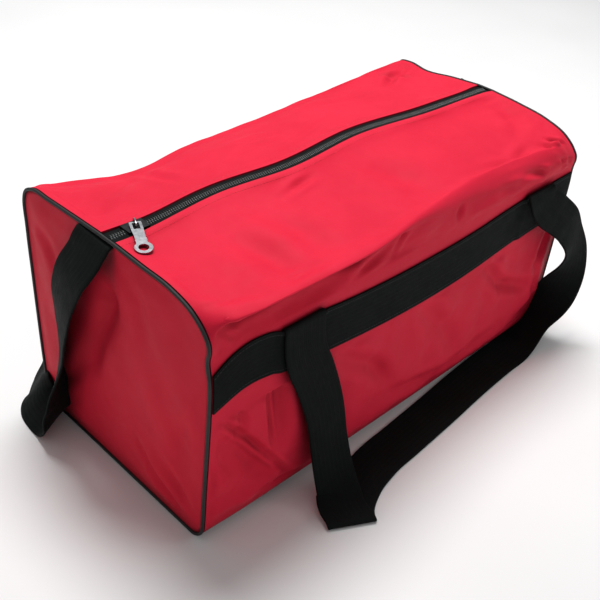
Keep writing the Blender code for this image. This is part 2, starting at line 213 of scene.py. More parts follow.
def fabric_material(name, light, dark, pitch=0.0011):
    """Coated polyester: a tight plain weave, soft sheen, slubs, and painted shade that darkens its folds and
    corners.
    """
    tree = Tree(name)
    u, v, _ = tree.split("UV")
    crossing = tree.math("MULTIPLY", tree.wave(u, pitch), tree.wave(v, pitch))
    weave = tree.math("ADD", tree.math("MULTIPLY", crossing, 0.5), 0.5)
    base = tree.ramp(tree.noise(11.0, 4.0, 0.6), (0.3, dark), (0.7, light))
    base = tree.mix(tree.math("MULTIPLY", weave, 0.16), base, times(0.55, light))
    slub = tree.noise(420.0, 2.0, 0.7)
    base = tree.mix(tree.math("MULTIPLY", slub, 0.1), base, times(1.25, light))
    # Painted shade: ambient occlusion darkens the colour in folds, creases, corners and near the floor.
    base = tree.mix(tree.depth(0.03, 1.25), base, times(0.16, dark))
    tree.feed("Base Color", base)
    tree.feed("Roughness", tree.range(tree.noise(70.0), 0.5, 0.72))
    tree.set(Sheen_Weight=0.03, Sheen_Roughness=0.45, Sheen_Tint=(1.0, 0.45, 0.5, 1.0))
    tree.set(Specular_IOR_Level=0.13)
    rumple = tree.bump(tree.noise(55.0, 4.0, 0.55), 0.22, 0.0012)
    tree.bump(weave, 0.55, 0.00022, rumple)
    return tree.material


def webbing_material(name, light, dark, rib=0.0026, pitch=0.0013):
    """Heavy woven strap: herringbone ribs along its length."""
    tree = Tree(name)
    u, v, _ = tree.split("UV")
    ribs = tree.wave(tree.math("ADD", u, tree.math("PINGPONG", v, rib)), pitch)
    rows = tree.wave(v, rib)
    height = tree.math("ADD", tree.math("MULTIPLY", ribs, 0.35), tree.math("MULTIPLY", rows, 0.1))
    height = tree.math("ADD", height, 0.5)
    base = tree.ramp(tree.noise(24.0, 4.0, 0.6), (0.3, dark), (0.72, light))
    base = tree.mix(tree.math("MULTIPLY", height, 0.45), base, times(2.1, light))
    tree.feed("Base Color", base)
    tree.feed("Roughness", tree.range(tree.noise(120.0, 2.0), 0.55, 0.8))
    tree.set(Sheen_Weight=0.01, Sheen_Roughness=0.5, Sheen_Tint=(0.75, 0.85, 0.82, 1.0))
    tree.set(Specular_IOR_Level=0.05)
    fuzz = tree.bump(tree.noise(900.0, 2.0), 0.25, 0.0003)
    tree.bump(height, 0.75, 0.0003, fuzz)
    return tree.material


def metal_material(name, color):
    """Die-cast metal with fine scuffs."""
    tree = Tree(name)
    tree.feed("Base Color", tree.ramp(tree.noise(180.0, 3.0, 0.6), (0.35, times(0.72, color)), (0.65, color)))
    tree.feed("Roughness", tree.range(tree.noise(420.0, 4.0, 0.7), 0.2, 0.42))
    tree.set(Metallic=1.0)
    tree.bump(tree.noise(700.0), 0.18, 0.00012)
    return tree.material


def yarn_material(name, color, gloss=0.5):
    """Thread, nylon teeth and piping: fine ribs and a little unevenness. gloss is the mean roughness."""
    tree = Tree(name)
    tree.feed("Base Color", tree.ramp(tree.noise(160.0, 3.0, 0.6), (0.3, times(0.7, color)),
                                      (0.7, times(1.3, color))))
    tree.feed("Roughness", tree.range(tree.noise(300.0, 2.0), gloss - 0.1, gloss + 0.1))
    x, y, z = tree.split("Object")
    slant = tree.math("MULTIPLY", tree.math("ADD", tree.math("ADD", x, y), z), 9000.0)
    tree.bump(tree.math("SINE", slant), 0.25, 0.0001)
    return tree.material


MATERIALS = {name: make(name, *values) for name, make, *values in (
    ("red_fabric", fabric_material, (0.78, 0.017, 0.052), (0.69, 0.011, 0.04)),
    ("red_end_fabric", fabric_material, (0.74, 0.013, 0.042), (0.62, 0.01, 0.033)),
    ("black_webbing", webbing_material, (0.006, 0.0072, 0.007), (0.0032, 0.0038, 0.0038)),
    ("black_piping", yarn_material, (0.006, 0.006, 0.007), 0.62),
    ("black_binding", yarn_material, (0.012, 0.012, 0.013), 0.75),
    ("zip_tape", webbing_material, (0.008, 0.0085, 0.009), (0.005, 0.0052, 0.0055), 0.0011, 0.0008),
    ("zip_teeth", yarn_material, (0.022, 0.026, 0.026), 0.34),
    ("nickel", metal_material, (0.34, 0.35, 0.37)),
    ("dark_metal", metal_material, (0.055, 0.057, 0.06)),
    ("red_thread", yarn_material, (0.7, 0.016, 0.045)),
    ("black_thread", yarn_material, (0.02, 0.021, 0.022)),
)}


# ---- numbers into surfaces

def hermite(knots, values, at):
    """A smooth curve through values at rising knots, read at one place or many."""
    knots, values = np.asarray(knots, float), np.asarray(values, float)
    at = np.atleast_1d(np.asarray(at, float))
    wide = (-1,) + (1,) * (values.ndim - 1)
    gaps = np.diff(knots).reshape(wide)
    slopes = np.diff(values, axis=0) / gaps
    tangents = np.empty_like(values)
    tangents[0], tangents[-1] = slopes[0], slopes[-1]
    tangents[1:-1] = (slopes[:-1] * gaps[1:] + slopes[1:] * gaps[:-1]) / (gaps[1:] + gaps[:-1])
    span = np.clip(np.searchsorted(knots, at, side="right") - 1, 0, len(knots) - 2)
    gap = gaps[span]
    t = ((at - knots[span]) / (knots[span + 1] - knots[span])).reshape(wide)
    return ((2 * t ** 3 - 3 * t ** 2 + 1) * values[span] + (t ** 3 - 2 * t ** 2 + t) * gap * tangents[span]
            + (3 * t ** 2 - 2 * t ** 3) * values[span + 1] + (t ** 3 - t ** 2) * gap * tangents[span + 1])


def from_stations(table, x):
    return hermite(list(table), list(table.values()), x)


def read_points(at, knots, values):
    """Straight between points at rising knots, read at one place or many."""
    return np.stack([np.interp(at, knots, values[:, k]) for k in range(3)], -1)


def along(points):
    """Distance travelled at each point of a path."""
    return np.concatenate(([0.0], np.cumsum(np.linalg.norm(np.diff(points, axis=0), axis=1))))


def smooth_step(low, high, value):
    t = np.clip((value - low) / (high - low), 0.0, 1.0)
    return t * t * (3 - 2 * t)


def bell(distance, width):
    return np.exp(-(distance / width) ** 2)


def refine(grid):
    """The grid with a smooth new row and column between each two."""
    for _ in range(2):
        padded = np.concatenate((2 * grid[:1] - grid[1:2], grid, 2 * grid[-1:] - grid[-2:-1]))
        middle = (9 * (padded[1:-2] + padded[2:-1]) - padded[:-3] - padded[3:]) / 16
        fine = np.empty((2 * len(grid) - 1,) + grid.shape[1:])
        fine[0::2], fine[1::2] = grid, middle
        grid = fine.swapaxes(0, 1)
    return grid


def unit(vectors):
    return vectors / np.maximum(np.linalg.norm(vectors, axis=-1, keepdims=True), 1e-12)


def grid_normals(grid):
    return unit(np.cross(np.gradient(grid, axis=1), np.gradient(grid, axis=0)))


def grid_faces(index):
    return np.stack((index[:-1, :-1], index[:-1, 1:], index[1:, 1:], index[1:, :-1]), -1).reshape(-1, 4)


def ring_faces(rings, around, base=0):
    """Faces between rings of points that follow each other."""
    rows = [(base + r * around, k, (k + 1) % around) for r in range(rings - 1) for k in range(around)]
    return [(row + k, row + n, row + around + n, row + around + k) for row, k, n in rows]


def link(name, data):
    obj = bpy.data.objects.new(name, data)
    bpy.context.scene.collection.objects.link(obj)
    return obj


def new_object(name, vertices, faces, material):
    mesh = bpy.data.meshes.new(name)
    mesh.from_pydata([tuple(v) for v in vertices], [], faces)
    mesh.shade_smooth()
    mesh.materials.append(MATERIALS[material])
    return link(name, mesh)


def tidy_mesh(mesh, flat=None, toward=0, merge=0):
    """Turns the faces out, or an open panel's toward one end, and gives each corner flat coordinates."""
    shape = bmesh.new()
    shape.from_mesh(mesh)
    if merge:
        bmesh.ops.remove_doubles(shape, verts=shape.verts, dist=merge)
    bmesh.ops.recalc_face_normals(shape, faces=shape.faces)
    if toward * sum(face.normal.x * face.calc_area() for face in shape.faces) < 0:
        bmesh.ops.reverse_faces(shape, faces=shape.faces)
    if flat:
        layer = shape.loops.layers.uv.new("flat")
        for face in shape.faces:
            for loop in face.loops:
                loop[layer].uv = flat(loop.vert)
    shape.to_mesh(mesh)
    shape.free()


def join(target, others):
    """Joins objects into the first one, which keeps its name."""
    bpy.ops.object.select_all(action="DESELECT")
    for obj in [target, *others]:
        obj.select_set(True)
    bpy.context.view_layer.objects.active = target
    bpy.ops.object.join()


def sheet(name, surface, thickness, slot, *nodes, seams=(), **moves):
    """A closed sheet of fabric, with its seams' stitches.

    Its outer face is a grid of points. The surface also has their normals and their flat coordinates.
    """
    points, normals, flat = surface
    count = points.size // 3
    thick = np.broadcast_to(thickness, points.shape[:2])[..., None]
    places = np.concatenate((points.reshape(-1, 3), (points - thick * normals).reshape(-1, 3)))
    index = np.arange(count).reshape(points.shape[:2])
    faces = grid_faces(index)
    edge = np.concatenate((index[0, :], index[1:, -1], index[-1, -2::-1], index[-2:0:-1, 0]))
    following = np.roll(edge, -1)
    rim = np.stack((following, edge, edge + count, following + count), -1)
    quads = np.concatenate((faces, faces[:, ::-1] + count, rim))
    obj = new_object(name, places, quads.tolist(), slot)
    corners = np.concatenate((normals.reshape(-1, 3), -normals.reshape(-1, 3)))[quads.reshape(-1)]
    start = places[rim[:, 0]]
    out_of_rim = unit(np.cross(places[rim[:, 1]] - start, places[rim[:, 3]] - start))
    corners[-4 * len(rim):] = np.repeat(out_of_rim, 4, axis=0)
    obj.data.normals_split_custom_set(corners.tolist())
    layer = obj.data.uv_layers.new(name="flat")
    flat = np.concatenate((flat.reshape(-1, 2),) * 2)
    layer.data.foreach_set("uv", flat[quads.reshape(-1)].ravel())
    if seams:
        join(obj, seams)
    declare(obj, slot, *nodes, **moves)


STITCH_SIDES = 5


def stitches(path, up, pitch=0.0036, share=0.7, radius=0.00032, material="red_thread"):
    """A row of stitches along a path of points: a small rounded stick for each, lying on the cloth."""
    travelled = along(path)
    vertices, faces = [], []
    for i in range(max(1, int(travelled[-1] / pitch))):
        start, stop = (read_points((i + (1 + way * share) / 2) * pitch, travelled, path) for way in (-1, 1))
        ahead = unit(stop - start)
        side = unit(np.cross(ahead, unit(read_points((i + 0.5) * pitch, travelled, up))))
        rise = np.cross(side, ahead)
        tip = len(vertices)
        vertices += [start - rise * radius * 0.6, stop - rise * radius * 0.6]
        for share_along in (0.18, 0.82):
            middle = start + (stop - start) * share_along
            vertices += [middle + radius * (side * cos(a) + rise * sin(a))
                         for a in (pi * k / (STITCH_SIDES / 2) for k in range(STITCH_SIDES))]
        first = tip + 2
        for k in range(STITCH_SIDES):
            n = (k + 1) % STITCH_SIDES
            second = first + STITCH_SIDES
            faces += [(tip, first + n, first + k), (tip + 1, second + k, second + n),
                      (first + k, first + n, second + n, second + k)]
    return new_object("stitches", vertices, faces, material)


# ---- the shell's cage

# Each row is outward and up for seven points of the section: the zip's edge, two on the top, the inner
# shoulder, the edge, under the edge, and just above the fold line.
FRONT_TOP = {
    -.2733: (.011, .2783, .05, .2768, .09, .2752, .118, .2668, .1345, .252, .1385, .244, .139, .2365),
    -.26: (.0115, .2783, .05, .2768, .092, .2755, .1215, .2705, .142, .2615, .135, .256, .136, .242),
    -.235: (.0095, .2785, .05, .2777, .095, .2755, .127, .2718, .149, .2668, .1335, .2622, .134, .247),
    -.17: (.0085, .2808, .05, .2788, .095, .2745, .1275, .2713, .15, .2668, .1325, .2622, .1335, .247),
    -.09: (.0085, .2838, .05, .2805, .095, .275, .1258, .2707, .148, .2652, .1345, .26, .1348, .2445),
    0: (.0085, .2848, .05, .282, .095, .276, .12, .271, .1365, .264, .138, .255, .1376, .2408),
    .09: (.0085, .2838, .05, .282, .095, .2765, .1135, .2718, .127, .264, .1345, .253, .138, .2404),
    .18: (.0085, .281, .05, .28, .095, .2755, .114, .27, .1275, .2612, .1355, .2505, .139, .2402),
    .245: (.0085, .2785, .05, .2772, .095, .274, .12, .267, .135, .256, .1392, .247, .1395, .238),
    .26: (.0095, .2783, .05, .2762, .091, .2724, .1193, .2642, .1343, .2522, .1384, .2446, .1389, .237),
    .2733: (.0105, .2772, .05, .2748, .09, .27, .1185, .2605, .1335, .248, .1375, .242, .1383, .236),
}
BACK_TOP = {
    -.2733: (.0105, .2783, .05, .2768, .092, .275, .118, .2735, .1315, .266, .1368, .254, .1378, .241),
    -.235: (.0085, .2785, .05, .2772, .092, .2748, .115, .2705, .13, .261, .1362, .249, .1377, .239),
    -.165: (.0085, .2808, .045, .277, .08, .27, .104, .262, .123, .251, .1335, .242, .137, .236),
    -.09: (.0085, .2838, .05, .2805, .088, .275, .11, .268, .127, .256, .135, .245, .1374, .2375),
    0: (.0085, .2848, .05, .2815, .09, .2755, .112, .269, .1285, .2575, .1355, .246, .1376, .238),
    .09: (.0085, .2838, .05, .2812, .092, .2765, .116, .271, .1315, .26, .1372, .247, .138, .2385),
    .18: (.0085, .281, .05, .2795, .095, .276, .121, .272, .135, .263, .139, .249, .1386, .239),
    .245: (.0085, .2785, .05, .2765, .095, .2735, .122, .272, .137, .265, .1395, .251, .1386, .2395),
    .26: (.0095, .2783, .05, .2752, .093, .2712, .121, .2712, .136, .2662, .1391, .2515, .1385, .2393),
    .2733: (.0105, .2772, .05, .2733, .092, .268, .119, .2705, .1345, .267, .1385, .252, .1383, .239),
}
# The side below the fold line: outward place at these heights, down to where the bottom edge turns.
SIDE_HEIGHTS = (.205, .17, .115, .065, .034, BOTTOM_RADIUS)
FRONT_SIDE = {
    -.2733: (.1405, .14, .1375, .135, .1338, .133),
    -.235: (.1375, .1375, .137, .1362, .1355, .135),
    -.169: (.1373, .1375, .1385, .1375, .1368, .1362),
    0: (.1378, .1395, .1415, .1405, .1385, .1375),
    .205: (.1373, .1375, .139, .1385, .1375, .137),
    .2733: (.138, .138, .138, .1375, .137, .1368),
}
BACK_SIDE = {
    -.2733: (.1378, .1375, .1372, .1365, .1355, .135),
    -.169: (.1373, .1375, .1395, .1395, .138, .137),
    0: (.1378, .1395, .1415, .1405, .1385, .1375),
    .205: (.1373, .1375, .1395, .1395, .138, .137),
    .2733: (.138, .138, .138, .1375, .137, .1368),
}
ZIP_WANDER = {-.2733: 0, -.235: 0, -.154: .0045, -.068: -.0045, .045: .005, .15: -.001, .235: 0, .2733: 0}
WANDER_REACH = 0.075        # how far from the zip the fabric follows its wander
STATION_STEP = 0.005
TOP_STEPS = (8, 9, 7, 5, 3, 4, 3)
SIDE_STEPS = (6, 7, 10, 9, 6, 3)
CORNER_STEPS = 6
BOTTOM_STEPS = 40
FOLD_ROW = sum(TOP_STEPS)
HALF_ROWS = FOLD_ROW + sum(SIDE_STEPS) + CORNER_STEPS
SEWN_ABOVE = 0.153          # the side is held by the band from here to the fold line


def half_section(top, side):
    """Points (outward, up) of half of one section, from the zip's edge to the bottom's flat."""
    cage = np.array([*top.reshape(-1, 2), (FOLD_Y, FOLD_Z), *zip(side, SIDE_HEIGHTS)], float)
    knots = along(cage)
    places = [knots[0]]
    for low, high, count in zip(knots[:-1], knots[1:], TOP_STEPS + SIDE_STEPS):
        places += [low + (high - low) * (k + 1) / count for k in range(count)]
    center = side[-1] - BOTTOM_RADIUS
    corner = [(center + BOTTOM_RADIUS * cos(a), BOTTOM_RADIUS - BOTTOM_RADIUS * sin(a))
              for a in (pi / 2 * (k + 1) / CORNER_STEPS for k in range(CORNER_STEPS))]
    return np.concatenate((hermite(knots, cage, places), corner))


def shell_grid():
    """The bag's fabric as a grid: stations along X, and round each from front zip edge to back."""
    stations = np.linspace(-WRAP_X, WRAP_X, 2 * round(WRAP_X / STATION_STEP) + 1)
    sides = [(sign, from_stations(top, stations), from_stations(side, stations))
             for sign, top, side in ((-1, FRONT_TOP, FRONT_SIDE), (1, BACK_TOP, BACK_SIDE))]
    wander = from_stations(ZIP_WANDER, stations)
    grid = []
    for i, x in enumerate(stations):
        section = []
        for sign, top, side in sides:
            half = half_section(top[i], side[i])
            fade = 1 - smooth_step(0.0, WANDER_REACH, half[:, 0] - MOUTH_HALF)
            fade[FOLD_ROW:] = 0
            section.append(np.stack((sign * half[:, 0] + wander[i] * fade, half[:, 1]), -1))
        front, back = section
        across = np.linspace(front[-1, 0], back[-1, 0], BOTTOM_STEPS + 1)[1:-1]
        section = np.concatenate((front, np.stack((across, np.zeros(len(across))), -1), back[::-1]))
        grid.append(np.column_stack((np.full(len(section), x), section)))
    return np.array(grid)


def held(grid):
    """How firmly each point of the shell is held: 1 at seams, folds, zip and floor, 0 elsewhere."""
    last = grid.shape[1] - 1
    rows, z = np.arange(last + 1), grid[..., 2]
    hold = np.zeros(grid.shape[:2])
    hold[:2] = hold[-2:] = hold[:, :2] = hold[:, -2:] = 1.0
    hold[:, [FOLD_ROW, last - FOLD_ROW]] = 1.0
    hold[:, (rows >= HALF_ROWS - CORNER_STEPS) & (rows <= last - HALF_ROWS + CORNER_STEPS)] = 1.0
    side = (rows > FOLD_ROW) & (rows < last - FOLD_ROW)
    hold[side[None, :] & (z > SEWN_ABOVE) & (z < FOLD_Z)] = 1.0
    edge = FOLD_ROW - sum(TOP_STEPS[4:])
    for first, stop, least in ((edge - 2, edge + 3, 0.9), (last - edge - 1, last - edge + 2, 0.6)):
        hold[:, first:stop] = np.maximum(hold[:, first:stop], least)
    return hold


def slacken(grid, hold, frames=26, slack=0.022, cap=0.0065):
    """Lets the fabric between its seams go slack in a cloth simulation, and returns the new grid."""
    faces = grid_faces(np.arange(hold.size).reshape(hold.shape))
    cloth = new_object("cloth", grid.reshape(-1, 3), faces.tolist(), "red_fabric")
    group = cloth.vertex_groups.new(name="held")
    for value in sorted(set(hold.ravel().tolist())):
        if value > 0:
            group.add([int(i) for i in np.flatnonzero(hold.ravel() == value)], value, "REPLACE")
    modifier = cloth.modifiers.new("cloth", "CLOTH")
    assign(modifier.settings, quality=6, mass=0.25, tension_stiffness=18.0, compression_stiffness=18.0,
           shear_stiffness=8.0, bending_stiffness=1.6, air_damping=2.0, vertex_group_mass="held",
           shrink_min=-slack, use_pressure=True, uniform_pressure_force=0.7)
    modifier.settings.effector_weights.gravity = 0.35
    assign(modifier.collision_settings, use_collision=False, use_self_collision=False)
    assign(modifier.point_cache, frame_start=1, frame_end=frames)
    for number in range(1, frames + 1):
        bpy.context.scene.frame_set(number)
    evaluated = cloth.evaluated_get(bpy.context.evaluated_depsgraph_get())
    moved = np.empty(grid.size)
    evaluated.data.vertices.foreach_get("co", moved)
    bpy.data.objects.remove(cloth, do_unlink=True)
    bpy.context.scene.frame_set(1)
    shift = moved.reshape(grid.shape) - grid
    for _ in range(4):
        shift[1:-1] = (shift[:-2] + 2 * shift[1:-1] + shift[2:]) / 4
    shift *= (hold < 1)[..., None]
    length = np.linalg.norm(shift, axis=-1, keepdims=True)
    return grid + shift * (cap * np.tanh(length / cap) / np.maximum(length, 1e-9))


def press(points, normals, path, width, depth, lip=0.35):
    """Presses a fold into a surface along a path: a groove of that width, with a lip on each side."""
    path = np.array(path, float)
    best = np.full(points.shape[:2], 1e9)
    share = np.zeros(points.shape[:2])
    travelled = along(path)
    for start, stop, base, reach in zip(path[:-1], path[1:], travelled[:-1], np.diff(travelled)):
        ray = stop - start
        t = np.clip(((points - start) @ ray) / (ray @ ray), 0, 1)
        distance = np.linalg.norm(points - (start + t[..., None] * ray), axis=-1)
        nearer = distance < best
        best[nearer] = distance[nearer]
        share[nearer] = ((base + t * reach) / travelled[-1])[nearer]
    fade = np.sin(pi * np.clip(share, 0.02, 0.98)) ** 0.6
    groove = -bell(best, width) + lip * bell(best - 1.9 * width, width)
    points += normals * (depth * fade * groove)[..., None]


def uneven(points, normals, amount, scale):
    """A soft unevenness over a surface."""
    values = np.array([noise.noise(p) for p in points.reshape(-1, 3) * scale]).reshape(points.shape[:2])
    points += normals * (amount * values)[..., None]


# Folds given one by one: three points of the path, then width and depth.
FOLDS = (
    # the front, beside the near seam and below the band
    (-.205, -.138, .176, -.202, -.139, .125, -.198, -.138, .082, .0034, .006),
    (-.193, -.138, .172, -.19, -.139, .125, -.186, -.138, .075, .011, .0075),
    (-.269, -.137, .165, -.225, -.138, .108, -.17, -.138, .03, .0036, .0062),
    (-.264, -.137, .138, -.23, -.138, .09, -.185, -.138, .028, .012, .0068),
    (-.272, -.137, .18, -.265, -.138, .172, -.252, -.138, .172, .004, .004),
    (-.262, -.135, .11, -.24, -.137, .06, -.205, -.136, .03, .008, .0045),
    (-.245, -.137, .17, -.236, -.138, .14, -.24, -.137, .11, .005, .0035),
    (-.12, -.141, .15, -.06, -.142, .11, -.02, -.141, .06, .01, .0056),
    (0, -.142, .16, .06, -.142, .1, .09, -.14, .05, .012, .0052),
    (.12, -.141, .16, .165, -.141, .11, .24, -.139, .075, .008, .0064),
    (.262, -.138, .16, .235, -.139, .11, .255, -.138, .05, .006, .0048),
    (-.05, -.141, .06, .06, -.141, .034, .18, -.139, .04, .009, .0056),
    # below the front edge
    (-.262, -.141, .254, -.254, -.139, .246, -.246, -.137, .238, .0035, .0045),
    (-.034, -.139, .264, -.04, -.139, .25, -.046, -.138, .238, .0036, .0048),
    (-.1, -.139, .236, -.075, -.139, .243, -.048, -.139, .25, .005, .0064),
    (.06, -.136, .258, .052, -.138, .246, .054, -.138, .236, .0045, .0028),
    (.118, -.143, .266, .16, -.14, .257, .2, -.139, .246, .0055, .005),
    (.15, -.138, .262, .185, -.139, .252, .215, -.139, .24, .0045, .0045),
    (.222, -.122, .268, .24, -.136, .256, .247, -.139, .24, .0046, .006),
    (.238, -.115, .268, .256, -.134, .255, .26, -.139, .242, .004, .006),
    (.118, -.118, .271, .165, -.126, .266, .208, -.112, .268, .006, .004),
    # on the top, along the zip and to the corners
    (-.1075, -.04, .281, -.08, -.035, .281, -.053, -.031, .282, .004, .0042),
    (-.185, -.055, .279, -.172, -.1, .276, -.176, -.128, .271, .015, .0062),
    (-.135, -.05, .279, -.122, -.09, .276, -.13, -.13, .27, .015, .0032),
    (.01, -.045, .282, .03, -.09, .276, .02, -.12, .271, .016, .003),
    (-.262, .04, .277, -.23, .07, .276, -.175, .1, .268, .01, .0034),
    (-.16, .112, .262, -.162, .085, .271, -.155, .05, .277, .007, .0058),
    (-.057, .074, .277, -.03, .071, .278, -.007, .066, .279, .005, .003),
    (-.1, .045, .28, -.06, .06, .279, -.01, .052, .28, .0055, .0026),
    (-.06, .033, .281, 0, .042, .281, .06, .06, .279, .006, .0024),
    (.08, .1, .275, .12, .085, .277, .17, .09, .276, .006, .003),
    (.182, .081, .276, .215, .098, .274, .255, .112, .27, .006, .008),
    (.206, .124, .27, .226, .104, .272, .238, .08, .275, .006, .006),
    (.256, -.04, .273, .235, -.075, .274, .2, -.1, .273, .009, .0028),
    # the back, unseen in the photo's view but sewn the same way
    (-.24, .138, .16, -.215, .139, .11, -.225, .138, .05, .007, .0042),
    (-.13, .14, .16, -.08, .142, .11, -.06, .14, .05, .01, .003),
    (.02, .142, .16, .04, .142, .11, .01, .14, .05, .011, .003),
    (.24, .138, .16, .21, .14, .12, .16, .14, .05, .008, .004),
    (-.1, .135, .254, -.095, .138, .244, -.098, .138, .236, .0045, .003),
    (.12, .136, .254, .128, .138, .244, .125, .138, .236, .0045, .003),
)
# Under the overhang of the front edge, and the pucker where it starts: path, width and depth.
RIDGE_FOLDS = (
    (((-.262, -.139, .2535), (-.215, -.1345, .257), (-.15, -.134, .257), (-.085, -.137, .253)), .0056, .012),
    (((-.261, -.14, .2605), (-.255, -.141, .26), (-.247, -.14, .259)), .0032, .008),
)


# ---- making the shell

def make_shell():
    """The shell's fine grid, its normals, and flat coordinates for the weave."""
    grid = shell_grid()
    hold = held(grid)
    grid = slacken(grid, hold)
    # A held line stays where it is, and its neighbours ease away from it.
    ease = 1 - np.clip(refine(hold[..., None])[..., 0], 0, 1)
    for _ in range(3):
        ease = np.minimum(ease, (np.roll(ease, 1, 0) + np.roll(ease, -1, 0) + np.roll(ease, 1, 1)
                                 + np.roll(ease, -1, 1)) / 4 + 0.15)
    grid = refine(grid)
    normals = grid_normals(grid)
    kept = grid.copy()
    for *path, width, depth in FOLDS:
        press(grid, normals, np.reshape(path, (3, 3)), width, depth)
    uneven(grid, normals, 0.0022, 16.0)
    uneven(grid, normals, 0.0006, 42.0)
    grid = kept + (grid - kept) * np.clip(ease, 0, 1)[..., None]
    for path, width, depth in RIDGE_FOLDS:
        press(grid, normals, path, width, depth, lip=0.1)
    last = grid.shape[1] - 1
    for row, side in ((2 * FOLD_ROW, -1), (last - 2 * FOLD_ROW, 1)):
        grid[:, row, 1:] = side * FOLD_Y, FOLD_Z
    grid[..., 2] = np.maximum(grid[..., 2], 0.0)
    round_middle = np.broadcast_to(along(grid[len(grid) // 2]), grid.shape[:2])
    return grid, grid_normals(grid), np.stack((grid[..., 0], round_middle), -1)


HEM_SEAM_ROW = 3            # the row of stitches beside the zip


def hem(count, wide=4):
    """Thickness near a folded edge: double at the edge, then single."""
    return FABRIC * (1 + 0.9 * (1 - smooth_step(wide, wide + 1.5, np.arange(count))))


def make_shell_pieces(grid, normals, flat):
    def cut(columns, rows):
        return grid[columns, rows], normals[columns, rows], flat[columns, rows]

    last = grid.shape[1] - 1
    fold, floor = 2 * FOLD_ROW, 2 * HALF_ROWS
    thick = hem(fold + 1)
    for side, rows, thickness, seam in (
            ("front", slice(0, fold + 1), thick, HEM_SEAM_ROW),
            ("back", slice(last - fold, None), thick[::-1], last - HEM_SEAM_ROW)):
        for end, hand, toward, columns in halves(len(grid)):
            sheet(f"fabric_{side}_top_{end}", cut(columns, rows), thickness, "red_fabric",
                  f"{side}_top_panel", f"{side}_top_end_{hand}", blend=flap_bend(side, toward),
                  seams=[stitches(grid[columns, seam], normals[columns, seam])])
    for name, rows in (("front_side", slice(fold, floor + 1)), ("bottom", slice(floor, last - floor + 1)),
                       ("back_side", slice(last - floor, last - fold + 1))):
        sheet(f"fabric_{name}", cut(slice(None), rows), FABRIC, "red_fabric", f"{name}_panel")


# ---- the ends

PANEL_INSET = 0.0026
PIPING_INSET = 0.001
PANEL_LIMIT_X = END_X + 0.0075      # the strap hangs outside this
PANEL_MIDDLE_Z = 0.142
PANEL_RINGS = 40
END_FOLDS = (
    (((-.06, .085), (-.085, .062), (-.118, .03)), .0075, .0036),
    (((-.03, .07), (-.07, .04), (-.105, .018)), .0065, .004),
    (((-.118, .15), (-.1, .12), (-.108, .08)), .009, .0024),
    (((.12, .24), (.095, .225), (.07, .19)), .008, .0026),
    (((.05, .12), (.07, .08), (.11, .04)), .008, .0026),
    (((-.02, .262), (-.045, .235), (-.06, .19)), .009, .0026),
)


def piping_tube(name, path):
    """A closed tube along a path."""
    curve = bpy.data.curves.new(name, "CURVE")
    assign(curve, dimensions="3D", bevel_depth=PIPING_RADIUS, bevel_resolution=3)
    spline = curve.splines.new("POLY")
    spline.points.add(len(path) - 1)
    for point, place in zip(spline.points, path):
        point.co = (*place, 1.0)
    spline.use_cyclic_u = True
    source = link(name + "_curve", curve)
    bpy.context.view_layer.update()
    mesh = bpy.data.meshes.new_from_object(source.evaluated_get(bpy.context.evaluated_depsgraph_get()))
    bpy.data.objects.remove(source, do_unlink=True)
    tidy_mesh(mesh, merge=0.00001)
    mesh.shade_smooth()
    mesh.name = name
    mesh.materials.clear()
    mesh.materials.append(MATERIALS["black_piping"])
    return link(name, mesh)


def inset_outline(outline, amount):
    """The outline drawn in, in its own YZ plane."""
    ahead = np.roll(outline, -1, 0) - np.roll(outline, 1, 0)
    inward = unit(np.stack((np.zeros(len(ahead)), ahead[:, 2], -ahead[:, 1]), -1))
    if ((outline.mean(0) - outline) * inward).sum() < 0:
        inward = -inward
    return outline + inward * amount


def panel_shape(rim, side):
    """Rings of points from an end panel's rim to its middle, with its soft bulges and hollows."""
    center = np.array([side * END_X, 0.0, PANEL_MIDDLE_Z])
    points = np.array([center + (rim - center) * (1 - r / PANEL_RINGS) for r in range(PANEL_RINGS)])
    y, z = points[..., 1], points[..., 2]
    depth = 1 - np.arange(PANEL_RINGS)[:, None] / PANEL_RINGS
    edge = smooth_step(0.0, 0.16, 1 - depth) * np.ones_like(y)
    swell = 0.003 * np.cos(pi * np.clip(z - 0.14, -0.14, 0.14) / 0.28)
    swell = swell + 0.003 * bell(y + 0.062, 0.03) + 0.0032 * bell(y - 0.075, 0.028)
    deep = 0.01 * smooth_step(0.03, 0.15, z) * (1 - 0.85 * smooth_step(0.205, 0.24, z))
    hollow = -deep * bell(y - 0.004 - 0.42 * np.maximum(0.2 - z, 0), 0.0155)
    ripple = 0.0011 * np.sin(y * 95 + 3 * np.sin(z * 20)) * smooth_step(0.02, 0.1, z)
    points[..., 0] += side * edge * (swell + hollow + ripple)
    normals = np.zeros_like(points)
    normals[..., 0] = side
    changes = [(press, [(side * END_X, *place) for place in path], width, amount)
               for path, width, amount in END_FOLDS]
    for change, *values in (*changes, (uneven, 0.0022, 17.0)):
        moved = points.copy()
        change(moved, normals, *values)
        points[..., 0] += (moved[..., 0] - points[..., 0]) * edge
    points[..., 0] -= side * np.maximum(side * points[..., 0] - PANEL_LIMIT_X, 0)
    return points


